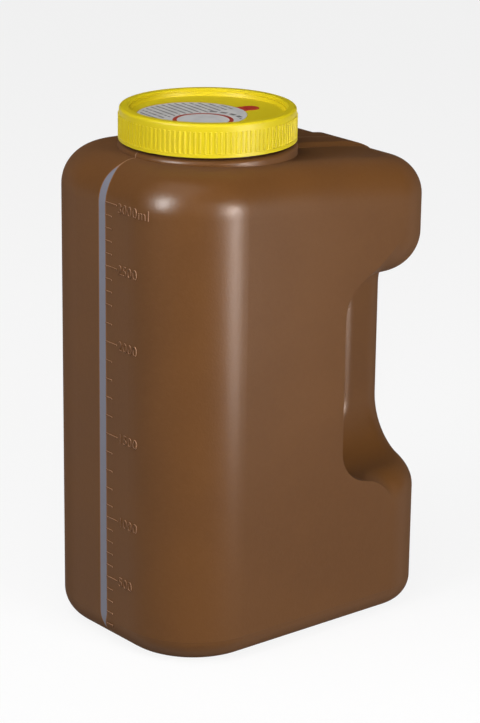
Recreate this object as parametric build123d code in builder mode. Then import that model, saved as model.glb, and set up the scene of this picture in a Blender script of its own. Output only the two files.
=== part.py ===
"""Three-litre specimen container with a screw cap and a built-in tube-filling well.

Frame: millimetres, +Z up, origin at the centre of the footprint on the standing plane.
X runs across the narrow width, -Y is the front with the level scale, +Y is the grip.
"""
from build123d import *
from math import cos, radians, sin, tan
import os

os.makedirs("parts", exist_ok=True)

# ---------------------------------------------------------------- blown body
BODY_WIDTH = 116.0
BODY_LENGTH = 158.0
FRONT_CORNER = 38.5
REAR_CORNER = 26.0
BASE_ROUND = 12.5
SHOULDER_ROUND = 18.5
WALL = 1.5

TOP_FRONT = 232.8        # height of the crowned top over the front face
TOP_REAR = 221.9         # and over the rear face
CROWN_RISE = 3.3         # rise of the crown above its chord
BASE_HOLLOW = 2.2        # push-up of the base inside its standing ring
BASE_SLOPE = 45.0        # degrees that the push-up's side leans inwards
STANDING_RING = 16.0     # width of that ring

RIDGE_HEIGHT = 1.8       # raised rib on the top, behind the neck
RIDGE_WIDTH = 24.0
RIDGE_SLOPE_WIDTH = 3.5
RIDGE_BACKSET = 3.0      # the rib ends this far before the rear shoulder

# ---------------------------------------------------------------- grip
GRIP_DEPTH = 60.3        # from the rear face to the flat wall in front of the fingers
RECESS_FLOOR = 72.0
FLOOR_CORNER = 18.5      # round between the wall and the floor
GRIP_EDGE_ROUND = 13.5   # round of the lower shoulder, the flares and the handle's rear edges
FLOOR_FADE = 3.7         # how fast that round fades towards the front
FLOOR_FADE_BLEND = 7.0
FLOOR_TURN = 75.0        # degrees that the floor's corner turns before it runs into the floor
FLOOR_RUN = 5.0          # length of that run
OVERHANG_HEIGHT = 169.0  # underside of the overhang
OVERHANG_CORNER = 20.0   # round between the wall and the overhang
OVERHANG_CORNER_DROP = 14.0  # its centre lies this far under the overhang
OVERHANG_EDGE_ROUND = 20.0
OVERHANG_FADE = 0.47
OVERHANG_FADE_BLEND = 25.0
OVERHANG_TURN = 60.0
OVERHANG_RUN = 7.0
FADE_REACH = 32.0        # from the rear face to where both edge rounds begin to fade

HANDLE_WIDTH = 43.0
HANDLE_DEPTH = 32.6
HOLE_EDGE_ROUND = 10.0   # its edges in the finger hole
HOLE_RISE = 16.0         # from the recess floor up to the finger hole
HOLE_DROP = 9.0          # from the overhang down to the finger hole
HOLE_CORNER = 13.8
FOOT_FLARE = 26.0        # concave flare from the handle into the lower shoulder
HEAD_FLARE = 14.0        # concave flare into the overhang
HEAD_TURN = 72.0         # degrees that the head's flare turns before it dips into the overhang
HEAD_TUCK = 2.6          # length of the straight dip
HEAD_END = 16.0          # round that ends the flare inside the overhang

# ---------------------------------------------------------------- neck
NECK_SETBACK = 60.7      # from the front face to the neck's axis
COLLAR_RADIUS = 41.8
COLLAR_TOP = 235.3
COLLAR_ROUND = 2.0
NECK_RADIUS = 37.4
NECK_WALL = 2.0
THREAD_PITCH = 6.0
THREAD_HEIGHT = 1.2      # how far the neck's thread stands out
THREAD_ROOT = 2.2        # its width at the neck
THREAD_CREST = 1.1       # its width at the crest
THREAD_BITE = 0.2        # how far a thread's root sinks into its wall
NECK_THREAD_START = 2.2  # from the cap's lower rim up to the thread's lower end
NECK_THREAD_TURNS = 0.95
CAP_THREAD_HEIGHT = 1.3
CAP_THREAD_LAG = 270.0   # degrees from the start of the neck's thread to the cap's
CAP_THREAD_TURNS = 0.8

# ---------------------------------------------------------------- screw cap
CAP_GAP = 1.4            # gap between the collar and the cap's lower rim
CAP_HEIGHT = 15.3
CAP_RADIUS = 41.1        # between the ribs
CAP_BORE = 39.4
RIB_COUNT = 108
RIB_HEIGHT = 0.5
RIB_WIDTH = 1.3
PLAIN_BAND = 1.7         # unribbed band round the lower rim
RIB_TOP_DROP = 3.6       # the ribs stop this far under the top
TOP_EDGE_ROUND = 1.4
RIM_INNER_RADIUS = 36.4
RIM_CHAMFER = 0.7
PANEL_DEPTH = 3.3        # the panel lies this far under the rim
PANEL_RADIUS = 35.4
STEP_DEPTH = 1.6         # small step in the rim's inner wall
PANEL_THICKNESS = 1.5
LIP_RADIUS = 34.4        # lip inside the neck that keeps the ring in place
LIP_THICKNESS = 1.2
LIP_HEIGHT = 3.0

# ---------------------------------------------------------------- sealing ring
RING_THICKNESS = 1.0
RING_GAP = 0.3           # to the neck's rim, to the lip and to the cap's bore

# ---------------------------------------------------------------- tube-filling well
WELL_OFFSET = 9.5        # in front of the neck's axis
WELL_RADIUS = 9.5
WELL_WALL = 1.2
WELL_DEPTH = 38.0
BOSS_RADIUS = 3.0
BOSS_HEIGHT = 4.0
SPIGOT_RADIUS = 2.4
SPIGOT_LENGTH = 9.0
CANNULA_RADIUS = 0.6
CANNULA_RISE = 20.0      # above the boss
BEVEL_LENGTH = 2.4
SLEEVE_RADIUS = 2.1
SLEEVE_WALL = 0.9
SLEEVE_GAP = 0.5         # between the cannula's point and the rubber above it
SLEEVE_CAP = 2.0         # from the cannula's point to the sleeve's top
TUBE_WALL = 0.8
TUBE_FOOT_GAP = 3.0      # between the tube's foot and the base
TUBE_FOOT_SLANT = 3.0

# ---------------------------------------------------------------- label
LABEL_RADIUS = 25.5
LABEL_THICKNESS = 0.25
TAB_REACH = 9.5
TAB_WIDTH = 8.0
TAB_ANGLE = 80.0         # direction of the pull tab, from +X towards +Y

# ---------------------------------------------------------------- division of the container
FRONT_SPARE = 2.2        # from the inside of the flat wall forward to the upright division
NECK_SPARE = 0.7         # from the crowned top's front end up to the neck's division

HALF_WIDTH = BODY_WIDTH / 2
HALF_LENGTH = BODY_LENGTH / 2
GRIP_WALL = HALF_LENGTH - GRIP_DEPTH
FADE_START = HALF_LENGTH - FADE_REACH
NECK_Y = NECK_SETBACK - HALF_LENGTH
FRONT_DIVISION = GRIP_WALL - WALL - FRONT_SPARE
NECK_DIVISION = TOP_FRONT + NECK_SPARE
HOLE_BOTTOM = RECESS_FLOOR + HOLE_RISE
HOLE_TOP = OVERHANG_HEIGHT - HOLE_DROP
OVERHANG_CORNER_Z = OVERHANG_HEIGHT - OVERHANG_CORNER_DROP
GRIP_DIVISION = (HOLE_BOTTOM + HOLE_TOP) / 2
CAP_BOTTOM = COLLAR_TOP + CAP_GAP
CAP_TOP = CAP_BOTTOM + CAP_HEIGHT
PANEL_TOP = CAP_TOP - PANEL_DEPTH
PANEL_UNDERSIDE = PANEL_TOP - PANEL_THICKNESS
NECK_TOP = PANEL_UNDERSIDE - RING_THICKNESS - RING_GAP
WELL_Y = NECK_Y - WELL_OFFSET
WELL_FLOOR = PANEL_TOP - WELL_DEPTH
SPIGOT_FOOT = WELL_FLOOR - WELL_WALL - SPIGOT_LENGTH
BASE_TOP = WALL + BASE_HOLLOW
NECK_PLANE = Plane(origin=(0, NECK_Y, 0), x_dir=(1, 0, 0), z_dir=(0, -1, 0))
NECK_AXIS = Axis((0, NECK_Y, 0), (0, 0, 1))


def outline(inset):
    """Plan of the body, moved inwards by inset."""
    with BuildSketch() as plan:
        Rectangle(BODY_WIDTH - 2 * inset, BODY_LENGTH - 2 * inset)
        fillet(plan.vertices().group_by(Axis.Y)[0], FRONT_CORNER - inset)
        fillet(plan.vertices().group_by(Axis.Y)[-1], REAR_CORNER - inset)
    return plan.sketch


def crown_height(y):
    """Height of the crowned top over the centre line."""
    chord = (TOP_FRONT + TOP_REAR) / 2 - (TOP_FRONT - TOP_REAR) * y / BODY_LENGTH
    return chord + CROWN_RISE * (1 - (y / HALF_LENGTH) ** 2)


def crown_fall(y):
    """Slope at which the crowned top falls towards the rear."""
    return (TOP_FRONT - TOP_REAR) / BODY_LENGTH + 2 * CROWN_RISE * y / HALF_LENGTH**2


def upright_form(inset):
    """The body before the grip is cut: rounded box with a crowned, sloping top."""
    reach = HALF_LENGTH + SHOULDER_ROUND
    with BuildPart() as form:
        with BuildSketch(Plane.XY.offset(inset)):
            add(outline(inset))
        extrude(amount=TOP_FRONT + BODY_WIDTH)
        with BuildSketch(Plane.YZ) as sky:
            with BuildLine():
                crown = ThreePointArc(
                    (-reach, crown_height(-reach) - inset),
                    (0, crown_height(0) - inset),
                    (reach, crown_height(reach) - inset),
                )
                Polyline(crown @ 1, (reach, 2 * TOP_FRONT), (-reach, 2 * TOP_FRONT), crown @ 0)
            make_face()
        extrude(amount=BODY_WIDTH, both=True, mode=Mode.SUBTRACT)
        fillet(form.faces().sort_by(Axis.Z)[-1].edges(), SHOULDER_ROUND - inset)
        fillet(form.faces().sort_by(Axis.Z)[0].edges(), BASE_ROUND - inset)
    return form.part


def fading_plan(inset, fade, blend):
    """Plan whose sides leave the body's sides towards the front, so that edge rounds fade."""
    half = HALF_WIDTH - inset
    spread = half + fade * FADE_START
    with BuildSketch() as plan:
        with BuildLine():
            Polyline(
                (half, FADE_START),
                (half, HALF_LENGTH - inset),
                (-half, HALF_LENGTH - inset),
                (-half, FADE_START),
                (-spread, 0),
                (spread, 0),
                close=True,
            )
        make_face()
        fillet(plan.vertices().group_by(Axis.Y)[-1], REAR_CORNER - inset)
        fillet(plan.vertices().group_by(Axis.Y)[1], blend)
    return plan.sketch


def overhang_block(inset):
    """Everything above the fingers, with its lower rear edge rounded."""
    with BuildPart() as block:
        with BuildSketch(Plane.XY.offset(OVERHANG_HEIGHT + inset)):
            add(fading_plan(inset, OVERHANG_FADE, OVERHANG_FADE_BLEND))
        extrude(amount=TOP_FRONT - OVERHANG_HEIGHT)
        rim = block.faces().sort_by(Axis.Z)[0].edges().sort_by(Axis.Y)[1:]
        fillet(rim, OVERHANG_EDGE_ROUND - inset)
    return block.part


def corner_gusset(inset, centre_z, radius, up, turn, run):
    """Web that rounds the recess where its wall meets the floor (up=-1) or the overhang (up=1)."""
    centre_y = GRIP_WALL + radius
    reach = radius + inset
    bend = radians(turn)
    start = (centre_y - reach, centre_z)
    middle = (centre_y - reach * cos(bend / 2), centre_z + up * reach * sin(bend / 2))
    end_y = centre_y - reach * cos(bend)
    end_z = centre_z + up * reach * sin(bend)
    run_y = end_y + run * sin(bend)
    run_z = end_z + up * run * cos(bend)
    outer = centre_z + up * 2 * OVERHANG_CORNER
    with BuildPart() as web:
        with BuildSketch(Plane.YZ):
            with BuildLine():
                ThreePointArc(start, middle, (end_y, end_z))
                Polyline((end_y, end_z), (run_y, run_z), (run_y, outer), (0, outer), (0, centre_z), start)
            make_face()
        extrude(amount=BODY_WIDTH, both=True)
    return web.part


def handle_outline(inset):
    """Right-hand outline of the handle seen from the rear, from under its foot to over its head."""
    shaft = HANDLE_WIDTH / 2 - inset
    foot_centre = Vector(HANDLE_WIDTH / 2 + FOOT_FLARE, RECESS_FLOOR + FOOT_FLARE)
    foot_reach = FOOT_FLARE + inset
    head_centre = Vector(HANDLE_WIDTH / 2 + HEAD_FLARE, OVERHANG_HEIGHT - HEAD_FLARE)
    head_reach = HEAD_FLARE + inset
    turn = radians(HEAD_TURN)
    inwards = Vector(-cos(turn), sin(turn))
    along = Vector(sin(turn), cos(turn))
    halfway = Vector(-cos(turn / 2), sin(turn / 2))
    end_centre = head_centre + inwards * (HEAD_FLARE + HEAD_END) + along * HEAD_TUCK
    head_end = head_centre + inwards * head_reach
    tuck_end = end_centre - inwards * (HEAD_END - inset)
    tip = end_centre + Vector(HEAD_END - inset, 0)
    with BuildLine() as half:
        Line((0, 0), (foot_centre.X, 0))
        Line((foot_centre.X, 0), (foot_centre.X, foot_centre.Y - foot_reach))
        CenterArc(foot_centre, foot_reach, 180, 90)
        Line((shaft, foot_centre.Y), (shaft, head_centre.Y))
        ThreePointArc((shaft, head_centre.Y), head_centre + halfway * head_reach, head_end)
        Line(head_end, tuck_end)
        ThreePointArc(tuck_end, end_centre - halfway * (HEAD_END - inset), tip)
        Polyline(tip, tip + Vector(0, HEAD_END), (0, tip.Y + HEAD_END), (0, 0))
    return half.line


def grip_block(inset):
    """The lower block and the handle that grows out of it, with one round along their outer edges."""
    rear = HALF_LENGTH - inset
    front = HALF_LENGTH - HANDLE_DEPTH + inset
    with BuildPart() as block:
        with BuildSketch(Plane.XZ.offset(-rear)):
            with BuildLine():
                add(handle_outline(inset))
            make_face()
            mirror(about=Plane.YZ)
        extrude(amount=rear)
        with BuildSketch():
            add(fading_plan(inset, FLOOR_FADE, FLOOR_FADE_BLEND))
        extrude(amount=TOP_FRONT, mode=Mode.INTERSECT)
        with BuildSketch():
            add(fading_plan(inset, FLOOR_FADE, FLOOR_FADE_BLEND))
        extrude(amount=RECESS_FLOOR - inset)
        rear_edges = block.faces().filter_by(Axis.Y).sort_by(Axis.Y)[-1].edges().filter_by(Axis.Z)
        fillet([edge for edge in rear_edges if edge.center().Z > RECESS_FLOOR], GRIP_EDGE_ROUND - inset)
        with BuildSketch(Plane.YZ) as side:
            with Locations((front / 2, (HOLE_BOTTOM + HOLE_TOP) / 2)):
                Rectangle(front, HOLE_TOP - HOLE_BOTTOM + 2 * inset)
            fillet(side.vertices().group_by(Axis.X)[-1], HOLE_CORNER + inset)
        extrude(amount=BODY_WIDTH, both=True, mode=Mode.SUBTRACT)
        hole_face = block.faces().filter_by(Axis.Y).sort_by(Axis.Y)[-2]
        fillet(hole_face.edges().filter_by(Axis.Z), HOLE_EDGE_ROUND - inset)
    return block.part


def recess(inset):
    """The air behind the wall, round the handle and through the finger hole."""
    front = GRIP_WALL - inset
    low = RECESS_FLOOR - GRIP_EDGE_ROUND
    high = OVERHANG_HEIGHT + OVERHANG_EDGE_ROUND
    with BuildPart() as air:
        with BuildSketch(Plane.XY.offset(low)):
            with Locations((0, (front + BODY_LENGTH) / 2)):
                Rectangle(2 * BODY_WIDTH, BODY_LENGTH - front)
        extrude(amount=high - low)
        add(overhang_block(inset), mode=Mode.SUBTRACT)
        add(grip_block(inset), mode=Mode.SUBTRACT)
        upper_corner = corner_gusset(
            inset, OVERHANG_CORNER_Z, OVERHANG_CORNER, 1, OVERHANG_TURN, OVERHANG_RUN
        )
        add(upper_corner, mode=Mode.SUBTRACT)
        lower_corner = corner_gusset(
            inset, RECESS_FLOOR + FLOOR_CORNER, FLOOR_CORNER, -1, FLOOR_TURN, FLOOR_RUN
        )
        add(lower_corner, mode=Mode.SUBTRACT)
    return air.part


def base_hollow(inset):
    """Push-up of the base inside its standing ring."""
    with BuildPart() as hollow:
        with BuildSketch(Plane.XY.offset(inset)):
            add(outline(STANDING_RING - inset * tan(radians(BASE_SLOPE / 2))))
        extrude(amount=BASE_HOLLOW, taper=BASE_SLOPE)
    return hollow.part


def top_rib(inset):
    """Low rib along the top, from the neck to the rear shoulder."""
    middle = (NECK_Y + COLLAR_RADIUS + HALF_LENGTH) / 2
    fall = crown_fall(middle)
    crest = crown_height(middle) + RIDGE_HEIGHT - inset + fall * (middle - NECK_Y)
    top = RIDGE_WIDTH / 2 - inset
    foot = top + RIDGE_SLOPE_WIDTH
    with BuildPart() as rib:
        with Locations((0, -RIDGE_BACKSET, RIDGE_HEIGHT + fall * RIDGE_BACKSET)):
            add(upright_form(inset))
        with BuildSketch(Plane.XZ.offset(-NECK_Y)):
            with BuildLine():
                Polyline(
                    (-top, crest + SHOULDER_ROUND),
                    (top, crest + SHOULDER_ROUND),
                    (top, crest),
                    (foot, crest - RIDGE_HEIGHT),
                    (foot, crest - SHOULDER_ROUND),
                    (-foot, crest - SHOULDER_ROUND),
                    (-foot, crest - RIDGE_HEIGHT),
                    (-top, crest),
                    close=True,
                )
            make_face()
        extrude(amount=BODY_LENGTH, dir=(0, 1, -fall), mode=Mode.INTERSECT)
    return rib.part


def collar(inset):
    """Round collar under the cap, with a soft upper edge."""
    radius = COLLAR_RADIUS - inset
    top = COLLAR_TOP - inset
    soft = COLLAR_ROUND - inset
    with BuildPart() as ring:
        with BuildSketch(NECK_PLANE):
            with BuildLine():
                edge = CenterArc((radius - soft, top - soft), soft, 0, 90)
                Polyline(
                    edge @ 1,
                    (0, top),
                    (0, TOP_REAR - SHOULDER_ROUND),
                    (radius, TOP_REAR - SHOULDER_ROUND),
                    edge @ 0,
                )
            make_face()
        revolve(axis=NECK_AXIS)
    return ring.part


def blown_form(inset):
    """Body, handle and rib as one solid, without the neck, moved inwards by inset."""
    with BuildPart() as form:
        add(upright_form(inset))
        add(recess(inset), mode=Mode.SUBTRACT)
        add(top_rib(inset))
        add(base_hollow(inset), mode=Mode.SUBTRACT)
        add(collar(inset))
    return form.part


def thread(root_radius, crest_radius, start_z, start_angle, turns):
    """One ridge of a right-hand thread round the neck's axis, from its root to its crest."""
    inwards = -1 if crest_radius < root_radius else 1
    root = root_radius - inwards * THREAD_BITE
    with BuildPart() as ridge:
        with BuildLine() as path:
            Helix(pitch=THREAD_PITCH, height=THREAD_PITCH * turns, radius=root_radius)
        with BuildSketch(Plane(origin=(0, 0, 0), x_dir=(1, 0, 0), z_dir=(0, -1, 0))):
            with BuildLine():
                Polyline(
                    (root, -THREAD_ROOT / 2),
                    (crest_radius, -THREAD_CREST / 2),
                    (crest_radius, THREAD_CREST / 2),
                    (root, THREAD_ROOT / 2),
                    close=True,
                )
            make_face()
        sweep(path=path.line, is_frenet=True)
    placed = Pos(0, NECK_Y, start_z) * Rot(0, 0, start_angle) * ridge.part
    return placed


with BuildPart() as container:
    add(blown_form(0))
    with BuildSketch(Plane.XY.offset(COLLAR_TOP - WALL)):
        with Locations((0, NECK_Y)):
            Circle(NECK_RADIUS)
    extrude(amount=NECK_TOP - COLLAR_TOP + WALL)
    add(blown_form(WALL), mode=Mode.SUBTRACT)
    with BuildSketch(Plane.XY.offset(COLLAR_TOP - 2 * WALL)):
        with Locations((0, NECK_Y)):
            Circle(NECK_RADIUS - NECK_WALL)
    extrude(amount=NECK_TOP - COLLAR_TOP + 2 * WALL, mode=Mode.SUBTRACT)
    neck_thread_z = CAP_BOTTOM + NECK_THREAD_START
    add(thread(NECK_RADIUS, NECK_RADIUS + THREAD_HEIGHT, neck_thread_z, 0, NECK_THREAD_TURNS))

# The one-piece container is divided into four plain shells that meet face to face.
with BuildPart() as container_neck:
    add(container.part)
    split(bisect_by=Plane.XY.offset(NECK_DIVISION), keep=Keep.TOP)

with BuildPart() as container_front:
    add(container.part)
    split(bisect_by=Plane.XY.offset(NECK_DIVISION), keep=Keep.BOTTOM)
    split(bisect_by=Plane.XZ.offset(-FRONT_DIVISION), keep=Keep.TOP)

with BuildPart() as container_foot:
    add(container.part)
    split(bisect_by=Plane.XY.offset(GRIP_DIVISION), keep=Keep.BOTTOM)
    split(bisect_by=Plane.XZ.offset(-FRONT_DIVISION), keep=Keep.BOTTOM)

with BuildPart() as container_head:
    add(container.part)
    split(bisect_by=Plane.XY.offset(NECK_DIVISION), keep=Keep.BOTTOM)
    split(bisect_by=Plane.XY.offset(GRIP_DIVISION), keep=Keep.TOP)
    split(bisect_by=Plane.XZ.offset(-FRONT_DIVISION), keep=Keep.BOTTOM)

with BuildPart() as screw_cap:
    with BuildSketch(NECK_PLANE):
        with BuildLine():
            shoulder = CenterArc((CAP_RADIUS - TOP_EDGE_ROUND, CAP_TOP - TOP_EDGE_ROUND), TOP_EDGE_ROUND, 0, 90)
            Polyline(
                shoulder @ 1,
                (RIM_INNER_RADIUS + RIM_CHAMFER, CAP_TOP),
                (RIM_INNER_RADIUS, CAP_TOP - RIM_CHAMFER),
                (RIM_INNER_RADIUS, CAP_TOP - STEP_DEPTH),
                (PANEL_RADIUS + RIM_CHAMFER / 2, CAP_TOP - STEP_DEPTH),
                (PANEL_RADIUS, PANEL_TOP),
                (0, PANEL_TOP),
                (0, PANEL_UNDERSIDE),
                (LIP_RADIUS - LIP_THICKNESS, PANEL_UNDERSIDE),
                (LIP_RADIUS - LIP_THICKNESS, PANEL_UNDERSIDE - LIP_HEIGHT),
                (LIP_RADIUS, PANEL_UNDERSIDE - LIP_HEIGHT),
                (LIP_RADIUS, PANEL_UNDERSIDE),
                (CAP_BORE, PANEL_UNDERSIDE),
                (CAP_BORE, CAP_BOTTOM),
                (CAP_RADIUS + RIB_HEIGHT, CAP_BOTTOM),
                (CAP_RADIUS + RIB_HEIGHT, CAP_BOTTOM + PLAIN_BAND),
                (CAP_RADIUS, CAP_BOTTOM + PLAIN_BAND),
                shoulder @ 0,
            )
        make_face()
    revolve(axis=NECK_AXIS)
    with BuildSketch(Plane.XY.offset(CAP_BOTTOM + PLAIN_BAND / 2)):
        with Locations((0, NECK_Y)):
            with PolarLocations(CAP_RADIUS + RIB_HEIGHT - RIB_WIDTH / 2, RIB_COUNT):
                Circle(RIB_WIDTH / 2)
    extrude(amount=CAP_HEIGHT - PLAIN_BAND / 2 - RIB_TOP_DROP)
    with BuildSketch(Plane.XY.offset(PANEL_UNDERSIDE)):
        with Locations((0, WELL_Y)):
            Circle(WELL_RADIUS)
    extrude(amount=PANEL_THICKNESS, mode=Mode.SUBTRACT)
    cap_thread_z = neck_thread_z + THREAD_PITCH * CAP_THREAD_LAG / 360 - THREAD_PITCH / 2
    add(thread(CAP_BORE, CAP_BORE - CAP_THREAD_HEIGHT, cap_thread_z, CAP_THREAD_LAG, CAP_THREAD_TURNS))

# Well for a sample tube, welded under the panel, with a boss for the cannula and a spigot below.
with BuildPart() as tube_well:
    with BuildSketch(Plane.XY.offset(WELL_FLOOR - WELL_WALL)):
        with Locations((0, WELL_Y)):
            Circle(WELL_RADIUS + WELL_WALL)
    extrude(amount=PANEL_UNDERSIDE - WELL_FLOOR + WELL_WALL)
    with BuildSketch(Plane.XY.offset(WELL_FLOOR)):
        with Locations((0, WELL_Y)):
            Circle(WELL_RADIUS)
    extrude(amount=PANEL_UNDERSIDE - WELL_FLOOR, mode=Mode.SUBTRACT)
    with BuildSketch(Plane.XY.offset(WELL_FLOOR)):
        with Locations((0, WELL_Y)):
            Circle(BOSS_RADIUS)
    extrude(amount=BOSS_HEIGHT)
    with BuildSketch(Plane.XY.offset(SPIGOT_FOOT)):
        with Locations((0, WELL_Y)):
            Circle(SPIGOT_RADIUS)
    extrude(amount=SPIGOT_LENGTH + WELL_WALL)
    with BuildSketch(Plane.XY.offset(SPIGOT_FOOT)):
        with Locations((0, WELL_Y)):
            Circle(CANNULA_RADIUS)
    extrude(amount=SPIGOT_LENGTH + WELL_WALL + BOSS_HEIGHT, mode=Mode.SUBTRACT)

with BuildPart() as sealing_ring:
    with BuildSketch(Plane.XY.offset(PANEL_UNDERSIDE - RING_THICKNESS)):
        with Locations((0, NECK_Y)):
            Circle(CAP_BORE - RING_GAP)
            Circle(LIP_RADIUS + RING_GAP, mode=Mode.SUBTRACT)
    extrude(amount=RING_THICKNESS)

with BuildPart() as seal_label:
    with BuildSketch(Plane.XY.offset(PANEL_TOP)) as film:
        with Locations((0, WELL_Y)):
            Circle(LABEL_RADIUS)
            with Locations(Rotation(0, 0, TAB_ANGLE)):
                with Locations(((LABEL_RADIUS + TAB_REACH) / 2, 0)):
                    RectangleRounded(LABEL_RADIUS + TAB_REACH, TAB_WIDTH, TAB_WIDTH / 2 - LABEL_THICKNESS)
    extrude(amount=LABEL_THICKNESS)

with BuildPart() as cannula:
    cannula_tip = WELL_FLOOR + BOSS_HEIGHT + CANNULA_RISE
    with BuildSketch(Plane.XY.offset(SPIGOT_FOOT)):
        with Locations((0, WELL_Y)):
            Circle(CANNULA_RADIUS)
            Circle(CANNULA_RADIUS / 2, mode=Mode.SUBTRACT)
    extrude(amount=cannula_tip - SPIGOT_FOOT)
    with BuildSketch(Plane.YZ):
        with BuildLine():
            Polyline(
                (WELL_Y - CANNULA_RADIUS, cannula_tip),
                (WELL_Y + CANNULA_RADIUS, cannula_tip - BEVEL_LENGTH),
                (WELL_Y + CANNULA_RADIUS, cannula_tip),
                close=True,
            )
        make_face()
    extrude(amount=CANNULA_RADIUS, both=True, mode=Mode.SUBTRACT)

with BuildPart() as cannula_sleeve:
    sleeve_foot = WELL_FLOOR + BOSS_HEIGHT
    with BuildSketch(Plane.XY.offset(sleeve_foot)):
        with Locations((0, WELL_Y)):
            Circle(SLEEVE_RADIUS)
    extrude(amount=CANNULA_RISE + SLEEVE_CAP)
    fillet(cannula_sleeve.faces().sort_by(Axis.Z)[-1].edges(), SLEEVE_RADIUS - SLEEVE_WALL)
    with BuildSketch(Plane.XY.offset(sleeve_foot)):
        with Locations((0, WELL_Y)):
            Circle(SLEEVE_RADIUS - SLEEVE_WALL)
    extrude(amount=CANNULA_RISE + SLEEVE_GAP, mode=Mode.SUBTRACT)

with BuildPart() as dip_tube:
    tube_top = WELL_FLOOR - WELL_WALL
    tube_foot = BASE_TOP + TUBE_FOOT_GAP
    with BuildSketch(Plane.XY.offset(tube_foot)):
        with Locations((0, WELL_Y)):
            Circle(SPIGOT_RADIUS + TUBE_WALL)
            Circle(SPIGOT_RADIUS, mode=Mode.SUBTRACT)
    extrude(amount=tube_top - tube_foot)
    with BuildSketch(Plane.YZ):
        with BuildLine():
            reach = SPIGOT_RADIUS + TUBE_WALL
            Polyline(
                (WELL_Y - reach, tube_foot),
                (WELL_Y + reach, tube_foot),
                (WELL_Y + reach, tube_foot + TUBE_FOOT_SLANT),
                close=True,
            )
        make_face()
    extrude(amount=BODY_WIDTH, both=True, mode=Mode.SUBTRACT)

container_neck.part.label = "container_neck"
export_step(container_neck.part, "parts/container_neck.step")
container_front.part.label = "container_front"
export_step(container_front.part, "parts/container_front.step")
container_foot.part.label = "container_foot"
export_step(container_foot.part, "parts/container_foot.step")
container_head.part.label = "container_head"
export_step(container_head.part, "parts/container_head.step")
screw_cap.part.label = "screw_cap"
export_step(screw_cap.part, "parts/screw_cap.step")
tube_well.part.label = "tube_well"
export_step(tube_well.part, "parts/tube_well.step")
sealing_ring.part.label = "sealing_ring"
export_step(sealing_ring.part, "parts/sealing_ring.step")
seal_label.part.label = "seal_label"
export_step(seal_label.part, "parts/seal_label.step")
cannula.part.label = "cannula"
export_step(cannula.part, "parts/cannula.step")
cannula_sleeve.part.label = "cannula_sleeve"
export_step(cannula_sleeve.part, "parts/cannula_sleeve.step")
dip_tube.part.label = "dip_tube"
export_step(dip_tube.part, "parts/dip_tube.step")
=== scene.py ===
import math

import bpy
from mathutils import Matrix, Vector


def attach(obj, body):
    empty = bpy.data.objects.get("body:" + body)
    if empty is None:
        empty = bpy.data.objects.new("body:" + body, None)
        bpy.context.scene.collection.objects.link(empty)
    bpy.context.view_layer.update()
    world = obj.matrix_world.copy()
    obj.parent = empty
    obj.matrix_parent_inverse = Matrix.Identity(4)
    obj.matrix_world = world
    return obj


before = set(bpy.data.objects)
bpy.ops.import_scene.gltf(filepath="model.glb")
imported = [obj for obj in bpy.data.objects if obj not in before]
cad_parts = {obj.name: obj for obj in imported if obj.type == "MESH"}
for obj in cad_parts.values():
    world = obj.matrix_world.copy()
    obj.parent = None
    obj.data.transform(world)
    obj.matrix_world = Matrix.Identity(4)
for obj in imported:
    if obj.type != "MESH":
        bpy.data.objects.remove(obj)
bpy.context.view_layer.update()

# Sizes are in metres and angles in degrees. The container's front:
FRONT_Y = -0.079
FLAT_HALF_WIDTH = 0.0195
FRONT_CORNER = 0.0385
SHOULDER_START = 0.2143
SHOULDER_ROUND = 0.0185

# Volume marks in millilitres, with the height of each 500 ml one and the rise for each 100 ml.
# The section is smaller behind the grip, so the marks spread there.
FULL_MARKS = (
    (500, 0.0337),
    (1000, 0.0638),
    (1500, 0.1052),
    (2000, 0.1499),
    (2500, 0.1859),
    (3000, 0.2145),
)
FIRST_FULL_VOLUME, FIRST_FULL_HEIGHT = FULL_MARKS[0]
TOP_VOLUME = 3000
VOLUME_STEP = 100
FULL_STEP = 500
LOWER_STEP = 0.00602
GRIP_STEP = 0.00894
UPPER_STEP = 0.00595
GRIP_LOW = 0.0706
GRIP_HIGH = 0.1688
TICK_START = 0.0026
TICK_SHORT = 0.0047
TICK_LONG = 0.0086
TICK_THICK = 0.0008
TICK_TALL = 0.0007
TICK_EDGE = 0.00022
NUMBER_START = 0.0120
NUMBER_SIZE = 0.0068
NUMBER_SPACING = 1.12
NUMBER_NARROWING = 0.93
NUMBER_THINNING = -0.00016
NUMBER_RAISE = 0.00034
NUMBER_EDGE = 0.00010
SMOOTH_ANGLE = 35

# Clear stripe, with where it starts and reaches its full width below the collar and above the foot.
STRIPE_HALF = 0.0025
STRIPE_TOP = (-0.0664, -0.0788)
STRIPE_FOOT = (0.0045, 0.0150)
FRONT_FACE = (-0.0660, -0.0672)

# Parting line of the mould, and the line round the foot.
PARTING_LINE = (0.00040, 0.00012)
PARTING_WANDER = 0.0022
FOOT_LINE_HEIGHT = 0.0118
FOOT_LINE = (0.00035, 0.00005)

# Cap and film label, in plan.
WELL_AXIS = Vector((0.0003, -0.0278, 0))
CAP_AXIS = Vector((0, -0.0183, 0))
PANEL_EDGE = (0.0356, 0.0352)
FILM_EDGE = (0.02545, 0.02555)
PRINT_EDGE = (0.0243, 0.0239)
ROW_TURN = -6.0
ROW_PITCH = 0.0034
ROW_END = 0.0035
ROWS_KEEP_OFF = (0.0150, 0.0154)
ARC_RADIUS = 0.0180
ARC_HALF = 0.0012
ARC_BLOCKS = 3.4
ARC_START = (0.55, 0.60)
ARC_END = (2.45, 2.40)
RING_CENTRE = Vector((0.0125, -0.0310, 0))
RING_RADIUS = 0.0130
RING_HALF = 0.0009

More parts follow.
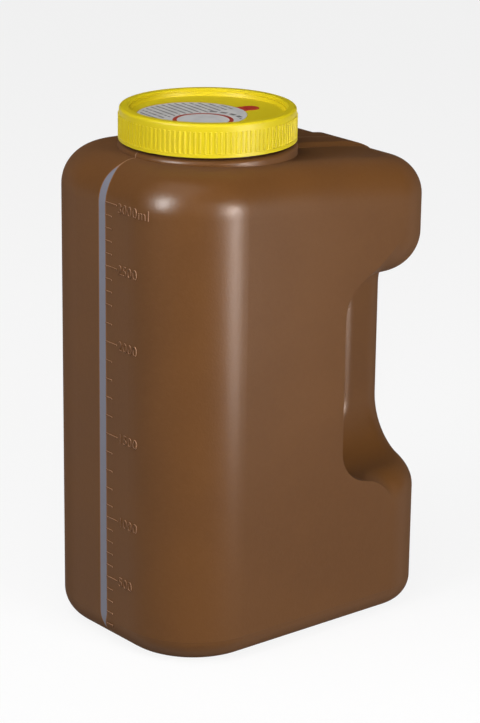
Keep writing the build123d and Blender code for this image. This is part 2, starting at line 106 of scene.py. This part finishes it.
# Colours.
BROWN_LIGHT = (0.140, 0.0565, 0.0150)
BROWN_DARK = (0.130, 0.0525, 0.0145)
BROWN_SPECK = (0.175, 0.078, 0.028)
# Painted highlight on the right-hand and upper edges of the raised scale marks.
MARK_EDGE_HIGHLIGHT = (0.42, 0.235, 0.14)
STRIPE_CLEAR = (0.215, 0.212, 0.255)
STRIPE_BORDER = (0.29, 0.125, 0.035)
# Painted highlight along the raised parting line.
PARTING_HIGHLIGHT = (0.36, 0.20, 0.11)
YELLOW = (0.71, 0.565, 0.0120)
YELLOW_DEEP = (0.68, 0.54, 0.0100)
FILM_WHITE = (0.68, 0.67, 0.67)
FILM_SHADE = (0.60, 0.59, 0.60)
PRINT_GREY = (0.10, 0.09, 0.09)
PRINT_RED = (0.42, 0.045, 0.030)
TAB_RED = (0.46, 0.018, 0.022)
FOAM_DARK = (0.74, 0.74, 0.72)
FOAM_LIGHT = (0.82, 0.82, 0.80)
STEEL_DARK = (0.52, 0.52, 0.54)
STEEL_LIGHT = (0.66, 0.66, 0.68)
RUBBER_DARK = (0.27, 0.27, 0.28)
RUBBER_LIGHT = (0.38, 0.38, 0.39)
TUBE_DARK = (0.66, 0.67, 0.67)
TUBE_LIGHT = (0.76, 0.77, 0.77)

# Gloss: the shine, the roughness, and what is added to it or taken off.
BROWN_SHINE = 0.14
BROWN_ROUGH = 0.31
CLOUD_EXTRA = 0.03
EDGE_EXTRA = 0.50
STRIPE_POLISH = 0.12
YELLOW_SHINE = 0.12
YELLOW_ROUGH = 0.42
PANEL_EXTRA = 0.12

# Stage.
FLOOR_SIZE = 60.0
FLOOR_GLOW = 0.86
FLOOR_BOUNCE = (0.16, 0.16, 0.16)
FLOOR_PALE = (0.95, 0.95, 0.95)
HORIZON_LIGHT = 1.0
SKY_LIGHT = 0.10
HORIZON = (0.22, 0.12)
LAMP_AIM = Vector((0, 0, 0.15))

# Camera.
CAMERA_PLACE = (0.9213, -0.7520, 0.5085)
CAMERA_AZIMUTH = 50.675
CAMERA_ELEVATION = 17.915
CAMERA_ROLL = 0.722
CAMERA_LENS = 2600 * 36 / 723


def deselect():
    bpy.ops.object.select_all(action="DESELECT")


def pick(piece):
    deselect()
    piece.select_set(True)
    bpy.context.view_layer.objects.active = piece


def place_in_mesh(piece):
    """Puts the piece's place, turn and scale into its mesh."""
    pick(piece)
    bpy.ops.object.transform_apply(location=True, rotation=True, scale=True)


def join(pieces, name):
    deselect()
    for piece in pieces:
        piece.select_set(True)
    bpy.context.view_layer.objects.active = pieces[0]
    bpy.ops.object.join()
    whole = bpy.context.view_layer.objects.active
    whole.name = name
    place_in_mesh(whole)
    return whole


# ------------------------------------------------------------------ materials
def new_material(name):
    material = bpy.data.materials.new(name)
    material.use_nodes = True
    tree = material.node_tree
    shader = tree.nodes["Principled BSDF"]
    return material, tree, shader


def maths(tree, operation, first, second=None, clamp=False):
    node = tree.nodes.new("ShaderNodeMath")
    node.operation = operation
    node.use_clamp = clamp
    for index, value in enumerate((first, second)):
        if value is None:
            continue
        if hasattr(value, "links"):
            tree.links.new(value, node.inputs[index])
        else:
            node.inputs[index].default_value = value
    return node.outputs[0]


def fade(tree, value, low, high):
    """0 below low, 1 above high, smooth between; the other way round where low is above high."""
    node = tree.nodes.new("ShaderNodeMapRange")
    node.interpolation_type = "SMOOTHSTEP"
    node.inputs["From Min"].default_value = min(low, high)
    node.inputs["From Max"].default_value = max(low, high)
    node.inputs["To Min"].default_value = 0 if low < high else 1
    node.inputs["To Max"].default_value = 1 if low < high else 0
    tree.links.new(value, node.inputs["Value"])
    return node.outputs["Result"]


def noise(tree, vector, scale, detail=2.0, roughness=0.5):
    node = tree.nodes.new("ShaderNodeTexNoise")
    node.inputs["Scale"].default_value = scale
    node.inputs["Detail"].default_value = detail
    node.inputs["Roughness"].default_value = roughness
    tree.links.new(vector, node.inputs["Vector"])
    return node.outputs["Fac"]


def blend_colour(tree, factor, first, second):
    node = tree.nodes.new("ShaderNodeMix")
    node.data_type = "RGBA"
    sockets = [s for s in node.inputs if s.type == "RGBA"]
    for socket, value in zip(sockets, (first, second)):
        if hasattr(value, "links"):
            tree.links.new(value, socket)
        else:
            socket.default_value = (*value, 1)
    tree.links.new(factor, node.inputs[0])
    return [s for s in node.outputs if s.type == "RGBA"][0]


def place_on_piece(tree):
    return tree.nodes.new("ShaderNodeTexCoord").outputs["Object"]


def axes(tree, vector):
    """The three parts of a place or a direction."""
    split = tree.nodes.new("ShaderNodeSeparateXYZ")
    tree.links.new(vector, split.inputs[0])
    return split.outputs["X"], split.outputs["Y"], split.outputs["Z"]


def glancing(tree):
    """0 where a surface is met square on, 1 along its edges."""
    return tree.nodes.new("ShaderNodeLayerWeight").outputs["Facing"]


def distance_from(tree, x, y, centre):
    """Distance in plan from an upright axis."""
    out_x = maths(tree, "SUBTRACT", x, centre.x)
    out_y = maths(tree, "SUBTRACT", y, centre.y)
    square_x = maths(tree, "MULTIPLY", out_x, out_x)
    square_y = maths(tree, "MULTIPLY", out_y, out_y)
    squares = maths(tree, "ADD", square_x, square_y)
    return out_x, out_y, maths(tree, "SQRT", squares)


def relief(tree, shader, layers):
    """Stacks bump layers of (height, depth in metres, strength)."""
    last = None
    for height, depth, strength in layers:
        bump = tree.nodes.new("ShaderNodeBump")
        bump.inputs["Strength"].default_value = strength
        bump.inputs["Distance"].default_value = depth
        tree.links.new(height, bump.inputs["Height"])
        if last is not None:
            tree.links.new(last, bump.inputs["Normal"])
        last = bump.outputs["Normal"]
    tree.links.new(last, shader.inputs["Normal"])


def brown_polyethylene():
    material, tree, shader = new_material("brown_polyethylene")
    spot = place_on_piece(tree)
    x, y, z = axes(tree, spot)
    cloudy = noise(tree, spot, 22.0, 3.0)
    fine = noise(tree, spot, 420.0, 3.0, 0.6)
    tone = blend_colour(tree, fade(tree, cloudy, 0.35, 0.65), BROWN_DARK, BROWN_LIGHT)
    tone = blend_colour(tree, maths(tree, "MULTIPLY", fade(tree, fine, 0.35, 0.7), 0.10), tone, BROWN_SPECK)

    # Clear level stripe down the front; it runs out to a point on the shoulder and near the foot.
    across = maths(tree, "ABSOLUTE", x)
    width = maths(tree, "MULTIPLY", fade(tree, y, *STRIPE_TOP), STRIPE_HALF)
    width = maths(tree, "MULTIPLY", width, fade(tree, z, *STRIPE_FOOT))
    gap = maths(tree, "SUBTRACT", across, width)
    on_front = fade(tree, y, *FRONT_FACE)
    stripe = maths(tree, "MULTIPLY", fade(tree, gap, 0.00005, -0.00020), on_front)
    border = maths(tree, "MULTIPLY", fade(tree, gap, 0.00075, 0.00005), on_front)
    tone = blend_colour(tree, maths(tree, "MULTIPLY", border, 0.65), tone, STRIPE_BORDER)
    tone = blend_colour(tree, stripe, tone, STRIPE_CLEAR)

    # Parting line of the mould along the middle, over the collar, the rib, the rear and the base.
    wander = maths(tree, "SUBTRACT", noise(tree, spot, 120.0, 1.0), 0.5)
    wander = maths(tree, "MULTIPLY", wander, PARTING_WANDER)
    off_line = maths(tree, "ABSOLUTE", maths(tree, "ADD", x, wander))
    flash_and_highlight = fade(tree, off_line, *PARTING_LINE)
    above = fade(tree, z, 0.2290, 0.2300)
    behind = fade(tree, y, 0.018, 0.022)
    below = fade(tree, z, 0.0040, 0.0030)
    where = maths(tree, "MAXIMUM", maths(tree, "MAXIMUM", above, behind), below)
    flash_and_highlight = maths(tree, "MULTIPLY", flash_and_highlight, where)
    # The parting line is raised by the bump below; its lighter colour is a painted highlight.
    tone = blend_colour(tree, maths(tree, "MULTIPLY", flash_and_highlight, 0.75), tone, PARTING_HIGHLIGHT)
    foot_line = maths(tree, "ABSOLUTE", maths(tree, "SUBTRACT", z, FOOT_LINE_HEIGHT))
    foot_line = fade(tree, foot_line, *FOOT_LINE)
    tree.links.new(tone, shader.inputs["Base Color"])

    shader.inputs["Specular IOR Level"].default_value = BROWN_SHINE
    sheen = maths(tree, "MULTIPLY", fade(tree, cloudy, 0.3, 0.7), CLOUD_EXTRA)
    sheen = maths(tree, "ADD", sheen, BROWN_ROUGH)
    edge = maths(tree, "MULTIPLY", fade(tree, glancing(tree), 0.25, 0.80), EDGE_EXTRA)
    sheen = maths(tree, "ADD", sheen, edge)
    sheen = maths(tree, "SUBTRACT", sheen, maths(tree, "MULTIPLY", stripe, STRIPE_POLISH))
    tree.links.new(sheen, shader.inputs["Roughness"])
    grain = noise(tree, spot, 900.0, 2.0, 0.55)
    relief(tree, shader, (
        (grain, 0.00011, 0.45),
        (noise(tree, spot, 60.0, 2.0), 0.0006, 0.10),
        (flash_and_highlight, 0.00018, 0.7),
        (foot_line, 0.00010, 0.5),
        (stripe, 0.00010, 0.25),
    ))
    return material


def scale_relief():
    """The same brown, with a painted highlight: lighter along the right-hand and upper edges of the raised
    marks.
    """
    material, tree, shader = new_material("brown_scale_relief")
    spot = place_on_piece(tree)
    surface = tree.nodes.new("ShaderNodeNewGeometry")
    facing = axes(tree, surface.outputs["Normal"])
    # Painted highlight: faces of the marks turned to the right and upward are painted lighter.
    side = fade(tree, facing[0], 0.25, 0.75)
    upper = fade(tree, facing[2], 0.25, 0.65)
    painted_edge_highlight = maths(tree, "MAXIMUM", side, maths(tree, "MULTIPLY", upper, 0.75))
    tone = blend_colour(tree, fade(tree, noise(tree, spot, 22.0, 3.0), 0.35, 0.65), BROWN_DARK, BROWN_LIGHT)
    tree.links.new(blend_colour(tree, painted_edge_highlight, tone, MARK_EDGE_HIGHLIGHT), shader.inputs["Base Color"])
    shader.inputs["Roughness"].default_value = 0.5
    shader.inputs["Specular IOR Level"].default_value = BROWN_SHINE
    relief(tree, shader, ((noise(tree, spot, 900.0, 2.0, 0.55), 0.00008, 0.35),))
    return material


def yellow_plastic():
    material, tree, shader = new_material("yellow_cap_plastic")
    spot = place_on_piece(tree)
    x, y = axes(tree, spot)[:2]
    cloudy = noise(tree, spot, 30.0, 2.0)
    fine = noise(tree, spot, 1500.0, 2.0, 0.6)
    tone = blend_colour(tree, fade(tree, cloudy, 0.3, 0.7), YELLOW_DEEP, YELLOW)
    tree.links.new(tone, shader.inputs["Base Color"])
    # The sunk panel is eroded and grainy, the rim and the skirt are smoother.
    out = distance_from(tree, x, y, CAP_AXIS)[2]
    panel = fade(tree, out, *PANEL_EDGE)
    grain = maths(tree, "ADD", maths(tree, "MULTIPLY", panel, 0.85), 0.15)
    grain = maths(tree, "MULTIPLY", fine, grain)
    rough = maths(tree, "ADD", maths(tree, "MULTIPLY", panel, PANEL_EXTRA), YELLOW_ROUGH)
    tree.links.new(rough, shader.inputs["Roughness"])
    shader.inputs["Specular IOR Level"].default_value = YELLOW_SHINE
    relief(tree, shader, ((grain, 0.00012, 0.4),))
    return material


def printed_rows(tree, x, y):
    """Rows of plain grey bars, broken as words are, on the film's left side."""
    turn = math.radians(ROW_TURN)
    along = maths(tree, "ADD", maths(tree, "MULTIPLY", x, math.cos(turn)),
                  maths(tree, "MULTIPLY", y, math.sin(turn)))
    across = maths(tree, "SUBTRACT", maths(tree, "MULTIPLY", y, math.cos(turn)),
                   maths(tree, "MULTIPLY", x, math.sin(turn)))
    count = maths(tree, "DIVIDE", maths(tree, "ADD", across, 1.0), ROW_PITCH)
    middle = maths(tree, "ABSOLUTE", maths(tree, "SUBTRACT", maths(tree, "FRACT", count), 0.5))
    place = tree.nodes.new("ShaderNodeCombineXYZ")
    tree.links.new(along, place.inputs[0])
    tree.links.new(maths(tree, "FLOOR", count), place.inputs[1])
    words = fade(tree, noise(tree, place.outputs[0], 620.0, 1.0), 0.38, 0.44)
    bars = maths(tree, "MULTIPLY", fade(tree, middle, 0.19, 0.12), words)
    return maths(tree, "MULTIPLY", bars, fade(tree, along, ROW_END, ROW_END - 0.0004))


def printed_arc(tree, out_x, out_y, out):
    """A row of short grey blocks round the upper side of the red ring."""
    angle = maths(tree, "ARCTAN2", out_y, out_x)
    count = maths(tree, "FRACT", maths(tree, "MULTIPLY", angle, ARC_BLOCKS))
    blocks = fade(tree, maths(tree, "ABSOLUTE", maths(tree, "SUBTRACT", count, 0.5)), 0.36, 0.30)
    band = maths(tree, "ABSOLUTE", maths(tree, "SUBTRACT", out, ARC_RADIUS))
    blocks = maths(tree, "MULTIPLY", blocks, fade(tree, band, ARC_HALF, ARC_HALF - 0.0002))
    blocks = maths(tree, "MULTIPLY", blocks, fade(tree, angle, *ARC_START))
    return maths(tree, "MULTIPLY", blocks, fade(tree, angle, *ARC_END))


def label_film():
    """White film with plain grey bars, a plain red ring and a red pull tab."""
    material, tree, shader = new_material("label_film")
    spot = place_on_piece(tree)
    x, y = axes(tree, spot)[:2]
    off = distance_from(tree, x, y, WELL_AXIS)[2]
    ring_x, ring_y, ring_out = distance_from(tree, x, y, RING_CENTRE)
    tone = blend_colour(tree, fade(tree, noise(tree, spot, 160.0), 0.35, 0.65), FILM_WHITE, FILM_SHADE)
    print_edge = fade(tree, off, *PRINT_EDGE)
    rows = maths(tree, "MULTIPLY", printed_rows(tree, x, y), fade(tree, ring_out, *ROWS_KEEP_OFF))
    marks = maths(tree, "MAXIMUM", rows, printed_arc(tree, ring_x, ring_y, ring_out))
    marks = maths(tree, "MULTIPLY", marks, print_edge)
    tone = blend_colour(tree, maths(tree, "MULTIPLY", marks, 0.9), tone, PRINT_GREY)
    ring = maths(tree, "ABSOLUTE", maths(tree, "SUBTRACT", ring_out, RING_RADIUS))
    ring = maths(tree, "MULTIPLY", fade(tree, ring, RING_HALF + 0.0001, RING_HALF), print_edge)
    tone = blend_colour(tree, ring, tone, PRINT_RED)
    tone = blend_colour(tree, fade(tree, off, *FILM_EDGE), tone, TAB_RED)
    tree.links.new(tone, shader.inputs["Base Color"])
    shader.inputs["Roughness"].default_value = 0.38
    shader.inputs["Specular IOR Level"].default_value = 0.3
    relief(tree, shader, (
        (noise(tree, spot, 90.0, 2.0), 0.0004, 0.25),
        (noise(tree, spot, 1200.0), 0.00003, 0.3),
    ))
    return material


def foam():
    material, tree, shader = new_material("white_foam")
    spot = place_on_piece(tree)
    cells = tree.nodes.new("ShaderNodeTexVoronoi")
    cells.inputs["Scale"].default_value = 1500.0
    tree.links.new(spot, cells.inputs["Vector"])
    tone = blend_colour(tree, fade(tree, noise(tree, spot, 120.0), 0.3, 0.7), FOAM_DARK, FOAM_LIGHT)
    tree.links.new(tone, shader.inputs["Base Color"])
    shader.inputs["Roughness"].default_value = 0.8
    relief(tree, shader, ((cells.outputs["Distance"], 0.00012, 0.5),))
    return material


def steel():
    material, tree, shader = new_material("steel")
    spot = place_on_piece(tree)
    drawn = tree.nodes.new("ShaderNodeMapping")
    drawn.inputs["Scale"].default_value = (1, 1, 0.02)
    tree.links.new(spot, drawn.inputs["Vector"])
    lines = noise(tree, drawn.outputs[0], 6000.0, 2.0)
    tree.links.new(blend_colour(tree, lines, STEEL_DARK, STEEL_LIGHT), shader.inputs["Base Color"])
    shader.inputs["Metallic"].default_value = 1.0
    tree.links.new(maths(tree, "ADD", maths(tree, "MULTIPLY", lines, 0.15), 0.18), shader.inputs["Roughness"])
    relief(tree, shader, ((lines, 0.00001, 0.4),))
    return material


def rubber():
    material, tree, shader = new_material("grey_rubber")
    spot = place_on_piece(tree)
    mottle = noise(tree, spot, 700.0, 3.0)
    tree.links.new(blend_colour(tree, mottle, RUBBER_DARK, RUBBER_LIGHT), shader.inputs["Base Color"])
    shader.inputs["Roughness"].default_value = 0.6
    relief(tree, shader, ((mottle, 0.00005, 0.4),))
    return material


def milky_tube():
    material, tree, shader = new_material("clear_tube")
    spot = place_on_piece(tree)
    stretched = tree.nodes.new("ShaderNodeMapping")
    stretched.inputs["Scale"].default_value = (1, 1, 0.05)
    tree.links.new(spot, stretched.inputs["Vector"])
    lines = noise(tree, stretched.outputs[0], 900.0, 2.0)
    tree.links.new(blend_colour(tree, lines, TUBE_DARK, TUBE_LIGHT), shader.inputs["Base Color"])
    shader.inputs["Transmission Weight"].default_value = 0.35
    shader.inputs["Roughness"].default_value = 0.3
    relief(tree, shader, ((lines, 0.00004, 0.4),))
    return material


brown = brown_polyethylene()
relief_brown = scale_relief()
yellow = yellow_plastic()
finishes = {
    "container_neck": brown,
    "container_front": brown,
    "container_foot": brown,
    "container_head": brown,
    "screw_cap": yellow,
    "tube_well": yellow,
    "sealing_ring": foam(),
    "seal_label": label_film(),
    "cannula": steel(),
    "cannula_sleeve": rubber(),
    "dip_tube": milky_tube(),
}
for name, finish in finishes.items():
    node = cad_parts[name]
    node.data.materials.clear()
    node.data.materials.append(finish)


# ------------------------------------------------------------------ scale on the front
def mark_height(volume):
    """Height of a volume mark; the section behind the grip is a third smaller."""
    low_volume = FIRST_FULL_VOLUME + (GRIP_LOW - FIRST_FULL_HEIGHT) / LOWER_STEP * VOLUME_STEP
    high_volume = low_volume + (GRIP_HIGH - GRIP_LOW) / GRIP_STEP * VOLUME_STEP
    if volume < low_volume:
        return FIRST_FULL_HEIGHT + (volume - FIRST_FULL_VOLUME) / VOLUME_STEP * LOWER_STEP
    if volume < high_volume:
        return GRIP_LOW + (volume - low_volume) / VOLUME_STEP * GRIP_STEP
    return GRIP_HIGH + (volume - high_volume) / VOLUME_STEP * UPPER_STEP


def wrap_to_front(piece):
    """Lays a flat piece, modelled proud of the front plane, round the front corner and shoulder."""
    for vertex in piece.data.vertices:
        along, proud, high = vertex.co.x, FRONT_Y - vertex.co.y, vertex.co.z
        depth = 0.0
        if high > SHOULDER_START:
            depth = SHOULDER_ROUND - math.sqrt(SHOULDER_ROUND ** 2 - (high - SHOULDER_START) ** 2)
        angle = max(0.0, along - FLAT_HALF_WIDTH) / FRONT_CORNER
        reach = FRONT_CORNER - depth + proud
        if angle > 0:
            vertex.co.x = FLAT_HALF_WIDTH + reach * math.sin(angle)
            vertex.co.y = FRONT_Y + FRONT_CORNER - reach * math.cos(angle)
        else:
            vertex.co.y = FRONT_Y + depth - proud


def raised_tick(length):
    """A raised line with round edges, from the stripe towards the numbers."""
    bpy.ops.mesh.primitive_cube_add(size=1.0, location=(TICK_START + length / 2, FRONT_Y, 0))
    tick = bpy.context.object
    tick.scale = (length, TICK_THICK, TICK_TALL)
    place_in_mesh(tick)
    edge = tick.modifiers.new("edge", "BEVEL")
    edge.width = TICK_EDGE
    edge.segments = 2
    pick(tick)
    bpy.ops.object.modifier_apply(modifier="edge")
    return tick


def raised_number(words, height):
    """A raised number, level with its mark."""
    upright = (math.radians(90), 0, 0)
    bpy.ops.object.text_add(location=(NUMBER_START, FRONT_Y, height), rotation=upright)
    number = bpy.context.object
    number.data.body = words
    number.data.size = NUMBER_SIZE
    number.data.align_x = "LEFT"
    number.data.align_y = "CENTER"
    number.data.space_character = NUMBER_SPACING
    number.data.offset = NUMBER_THINNING
    number.data.extrude = NUMBER_RAISE
    number.data.bevel_depth = NUMBER_EDGE
    number.data.bevel_resolution = 1
    number.data.resolution_u = 4
    number.scale = (NUMBER_NARROWING, 1, 1)
    pick(number)
    bpy.ops.object.convert(target="MESH")
    place_in_mesh(number)
    return number


ticks = []
for volume in range(VOLUME_STEP, TOP_VOLUME + 1, VOLUME_STEP):
    full = volume % FULL_STEP == 0
    tick = raised_tick(TICK_LONG if full else TICK_SHORT)
    tick.location.z = mark_height(volume)
    place_in_mesh(tick)
    ticks.append(tick)
scale_ticks = join(ticks, "scale_ticks")
wrap_to_front(scale_ticks)

numbers = []
for volume, height in FULL_MARKS:
    words = f"{volume}ml" if volume == TOP_VOLUME else str(volume)
    numbers.append(raised_number(words, height))
scale_numbers = join(numbers, "scale_numbers")
wrap_to_front(scale_numbers)
for piece in (scale_ticks, scale_numbers):
    pick(piece)
    bpy.ops.object.shade_smooth_by_angle(angle=math.radians(SMOOTH_ANGLE))
    piece.data.materials.clear()
    piece.data.materials.append(relief_brown)
    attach(piece, "container")


# ------------------------------------------------------------------ stage
def seen_directly(tree):
    """1 for what the camera, mirrors and glass see, 0 for light that only bounces."""
    path = tree.nodes.new("ShaderNodeLightPath")
    seen = maths(tree, "ADD", path.outputs["Is Camera Ray"], path.outputs["Is Glossy Ray"])
    return maths(tree, "ADD", seen, path.outputs["Is Transmission Ray"], clamp=True)


bpy.ops.mesh.primitive_plane_add(size=FLOOR_SIZE, location=(0, 0, 0))
floor = bpy.context.object
floor.name = "floor"
floor_material, floor_tree, floor_shader = new_material("pale_floor")
floor_shader.inputs["Roughness"].default_value = 0.8
floor_shader.inputs["Specular IOR Level"].default_value = 0.0
floor_seen = seen_directly(floor_tree)
floor_tone = blend_colour(floor_tree, floor_seen, FLOOR_BOUNCE, FLOOR_PALE)
floor_tree.links.new(floor_tone, floor_shader.inputs["Base Color"])
glow = floor_tree.nodes.new("ShaderNodeEmission")
floor_mix = floor_tree.nodes.new("ShaderNodeMixShader")
floor_tree.links.new(maths(floor_tree, "MULTIPLY", floor_seen, FLOOR_GLOW), floor_mix.inputs[0])
floor_tree.links.new(floor_shader.outputs[0], floor_mix.inputs[1])
floor_tree.links.new(glow.outputs[0], floor_mix.inputs[2])
floor_tree.links.new(floor_mix.outputs[0], floor_tree.nodes["Material Output"].inputs["Surface"])
floor.data.materials.append(floor_material)

world = bpy.data.worlds.new("studio")
bpy.context.scene.world = world
world.use_nodes = True
world_tree = world.node_tree
background = world_tree.nodes["Background"]
# White at the horizon, where other views look past the floor, and dim overhead.
sky = world_tree.nodes.new("ShaderNodeTexCoord").outputs["Generated"]
height = fade(world_tree, axes(world_tree, sky)[2], *HORIZON)
strength = maths(world_tree, "MULTIPLY", height, HORIZON_LIGHT - SKY_LIGHT)
world_tree.links.new(maths(world_tree, "ADD", strength, SKY_LIGHT), background.inputs["Strength"])


def soft_lamp(name, azimuth, elevation, distance, width, height, brightness):
    """A soft box; azimuth runs from the front towards the right, brightness is what the aim gets."""
    side, rise = math.radians(azimuth), math.radians(elevation)
    level = math.cos(rise)
    towards = Vector((math.sin(side) * level, -math.cos(side) * level, math.sin(rise)))
    data = bpy.data.lights.new(name, "AREA")
    data.shape = "RECTANGLE"
    data.size = width
    data.size_y = height
    data.energy = brightness * math.pi * distance ** 2
    lamp = bpy.data.objects.new(name, data)
    bpy.context.collection.objects.link(lamp)
    lamp.location = LAMP_AIM + towards * distance
    lamp.rotation_euler = (-towards).to_track_quat("-Z", "Y").to_euler()
    return lamp


def glint(name, azimuth, elevation, distance, width, height, brightness):
    """A soft box that shows in the plastic's gloss alone."""
    lamp = soft_lamp(name, azimuth, elevation, distance, width, height, brightness)
    lamp.visible_diffuse = False


# Name, azimuth, elevation, distance, width, height, brightness.
soft_lamp("front_lamp", 6, 25, 1.3, 0.40, 0.50, 1.40)
soft_lamp("side_lamp", 92, 12, 0.8, 0.30, 0.50, 2.45)
soft_lamp("fill_lamp", 62, 25, 1.6, 1.0, 0.8, 0.40)
soft_lamp("top_lamp", 10, 65, 1.3, 1.0, 1.0, 1.5)
glint("front_glint", 6, 28, 1.3, 0.26, 0.60, 7.2)
glint("side_glint", 100, 13, 0.8, 0.15, 0.20, 2.4)
glint("side_strip", 100, 2, 0.45, 0.11, 0.33, 5.0)

# ------------------------------------------------------------------ camera
camera_data = bpy.data.cameras.new("camera")
camera = bpy.data.objects.new("camera", camera_data)
bpy.context.collection.objects.link(camera)
bpy.context.scene.camera = camera
camera_data.sensor_fit = "AUTO"
camera_data.sensor_width = 36.0
camera_data.lens = CAMERA_LENS
camera_data.clip_start = 0.05
azimuth = math.radians(CAMERA_AZIMUTH)
elevation = math.radians(CAMERA_ELEVATION)
roll = math.radians(CAMERA_ROLL)
forward = Vector((-math.sin(azimuth) * math.cos(elevation), math.cos(azimuth) * math.cos(elevation),
                  -math.sin(elevation)))
level = Vector((math.cos(azimuth), math.sin(azimuth), 0))
upright = level.cross(forward)
right = level * math.cos(roll) + upright * math.sin(roll)
up = upright * math.cos(roll) - level * math.sin(roll)
turn = Matrix((right, up, -forward)).transposed()
camera.matrix_world = Matrix.Translation(CAMERA_PLACE) @ turn.to_4x4()

bpy.context.scene.view_settings.view_transform = "Standard"
